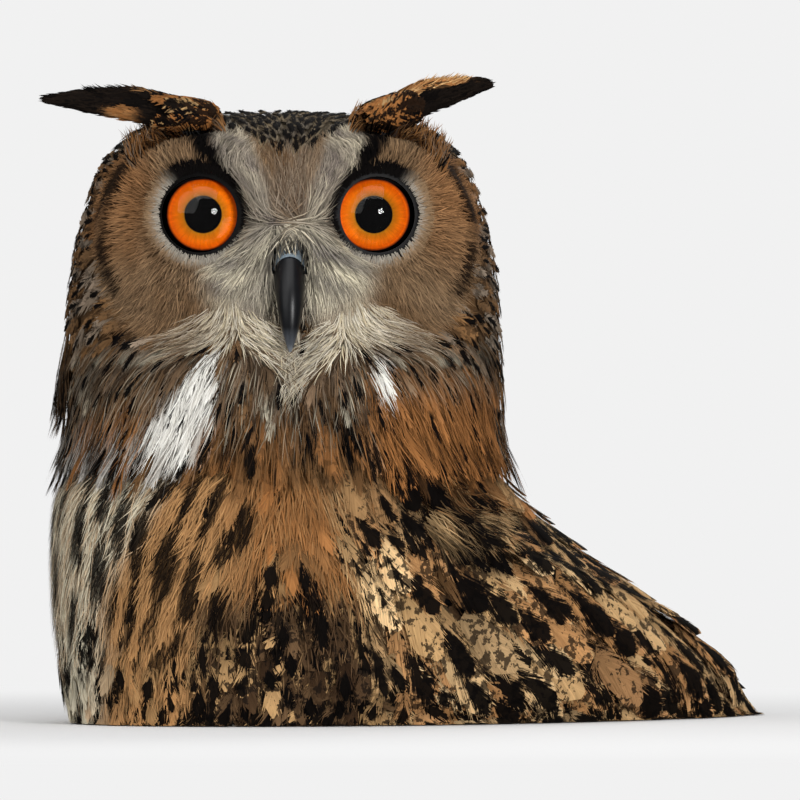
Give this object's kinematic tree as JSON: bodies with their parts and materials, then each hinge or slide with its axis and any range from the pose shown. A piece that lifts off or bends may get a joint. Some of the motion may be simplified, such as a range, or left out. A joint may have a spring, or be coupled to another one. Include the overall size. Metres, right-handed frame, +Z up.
{
  "type": "owl hand puppet",
  "caption": "Life-size eagle-owl hand puppet bust with a turning head, blinking eyes, opening beak and hinged ear tufts and wings",
  "frame": {"origin": "on the axis that the head turns on, in the plane of the base", "axes": "+Z up; the face looks along -Y at rest; the owl's left is +X; the breast is turned 55 degrees from the face towards -X"},
  "size_m": [0.2919, 0.2407, 0.2632],
  "materials": {
    "feather_coat": "matte",
    "dark_feather": "matte",
    "pale_face": "matte",
    "moulded_shell": "matte",
    "black_moulding": "matte",
    "light_moulding": "matte",
    "washer": "satin",
    "steel": "satin",
    "horn": "gloss",
    "cere": "satin",
    "eye_black": "gloss",
    "iris": "gloss",
    "clear_glass": "polished",
    "lid_skin": "satin",
    "kraft_paper": "matte",
    "board": "matte"
  },
  "bodies": {
    "body": {"base_ring": "board", "body_shell": "moulded_shell", "body_coat": "feather_coat", "neck_collar": "moulded_shell", "thrust_washer": "washer", "left_wing_bracket": "steel", "right_wing_bracket": "steel", "left_wing_pin": "steel", "right_wing_pin": "steel"},
    "head": {"turning_ring": "black_moulding", "retaining_ring": "black_moulding", "retaining_screws": "steel", "hand_bag": "kraft_paper", "face_shell": "moulded_shell", "crown_shell": "moulded_shell", "head_coat": "feather_coat", "neck_ruff": "feather_coat", "left_facial_disc": "pale_face", "right_facial_disc": "pale_face", "left_eye_socket": "eye_black", "right_eye_socket": "eye_black", "left_eye_globe": "eye_black", "right_eye_globe": "eye_black", "left_iris": "iris", "right_iris": "iris", "left_cornea": "clear_glass", "right_cornea": "clear_glass", "eye_bridge": "light_moulding", "beak_frame": "light_moulding", "upper_beak": "horn", "cere": "cere", "jaw_pin": "steel", "left_tuft_bracket": "light_moulding", "right_tuft_bracket": "light_moulding", "left_tuft_pin": "steel", "right_tuft_pin": "steel"},
    "eyelids": {"left_eyelid": "lid_skin", "right_eyelid": "lid_skin", "eyelid_lever": "light_moulding"},
    "jaw": {"lower_beak": "horn"},
    "left_tuft": {"left_ear_tuft": "dark_feather"},
    "right_tuft": {"right_ear_tuft": "dark_feather"},
    "left_wing": {"left_wing": "feather_coat"},
    "right_wing": {"right_wing": "feather_coat"}
  },
  "joints": [
    {"name": "head_turn", "type": "hinge", "parent": "body", "child": "head", "pos_m": [0, 0, 0.104], "axis": [0, 0, 1], "range_deg": [-145, 35]},
    {"name": "blink", "type": "hinge", "parent": "head", "child": "eyelids", "pos_m": [0, -0.05, 0.204], "axis": [1, 0, 0], "range_deg": [0, 100], "stiffness_Nm_per_rad": 0.01, "springref_deg": -28.65},
    {"name": "beak_open", "type": "hinge", "parent": "head", "child": "jaw", "pos_m": [0, -0.056, 0.17], "axis": [1, 0, 0], "range_deg": [0, 22], "stiffness_Nm_per_rad": 0.02, "springref_deg": -28.65},
    {"name": "left_tuft_tilt", "type": "hinge", "parent": "head", "child": "left_tuft", "pos_m": [0.038, -0.04, 0.242], "axis": [0.5736, -0.8192, 0], "range_deg": [-10, 30]},
    {"name": "right_tuft_tilt", "type": "hinge", "parent": "head", "child": "right_tuft", "pos_m": [-0.038, -0.04, 0.242], "axis": [0.1219, 0.9925, 0], "range_deg": [-10, 30]},
    {"name": "left_wing_lift", "type": "hinge", "parent": "body", "child": "left_wing", "pos_m": [0.07094, -0.0525, 0.077], "axis": [-0.7299, -0.6638, 0.1631], "range_deg": [0, 38]},
    {"name": "right_wing_lift", "type": "hinge", "parent": "body", "child": "right_wing", "pos_m": [-0.02507, 0.08462, 0.077], "axis": [0.8734, 0.4589, -0.1631], "range_deg": [0, 38]}
  ]
}
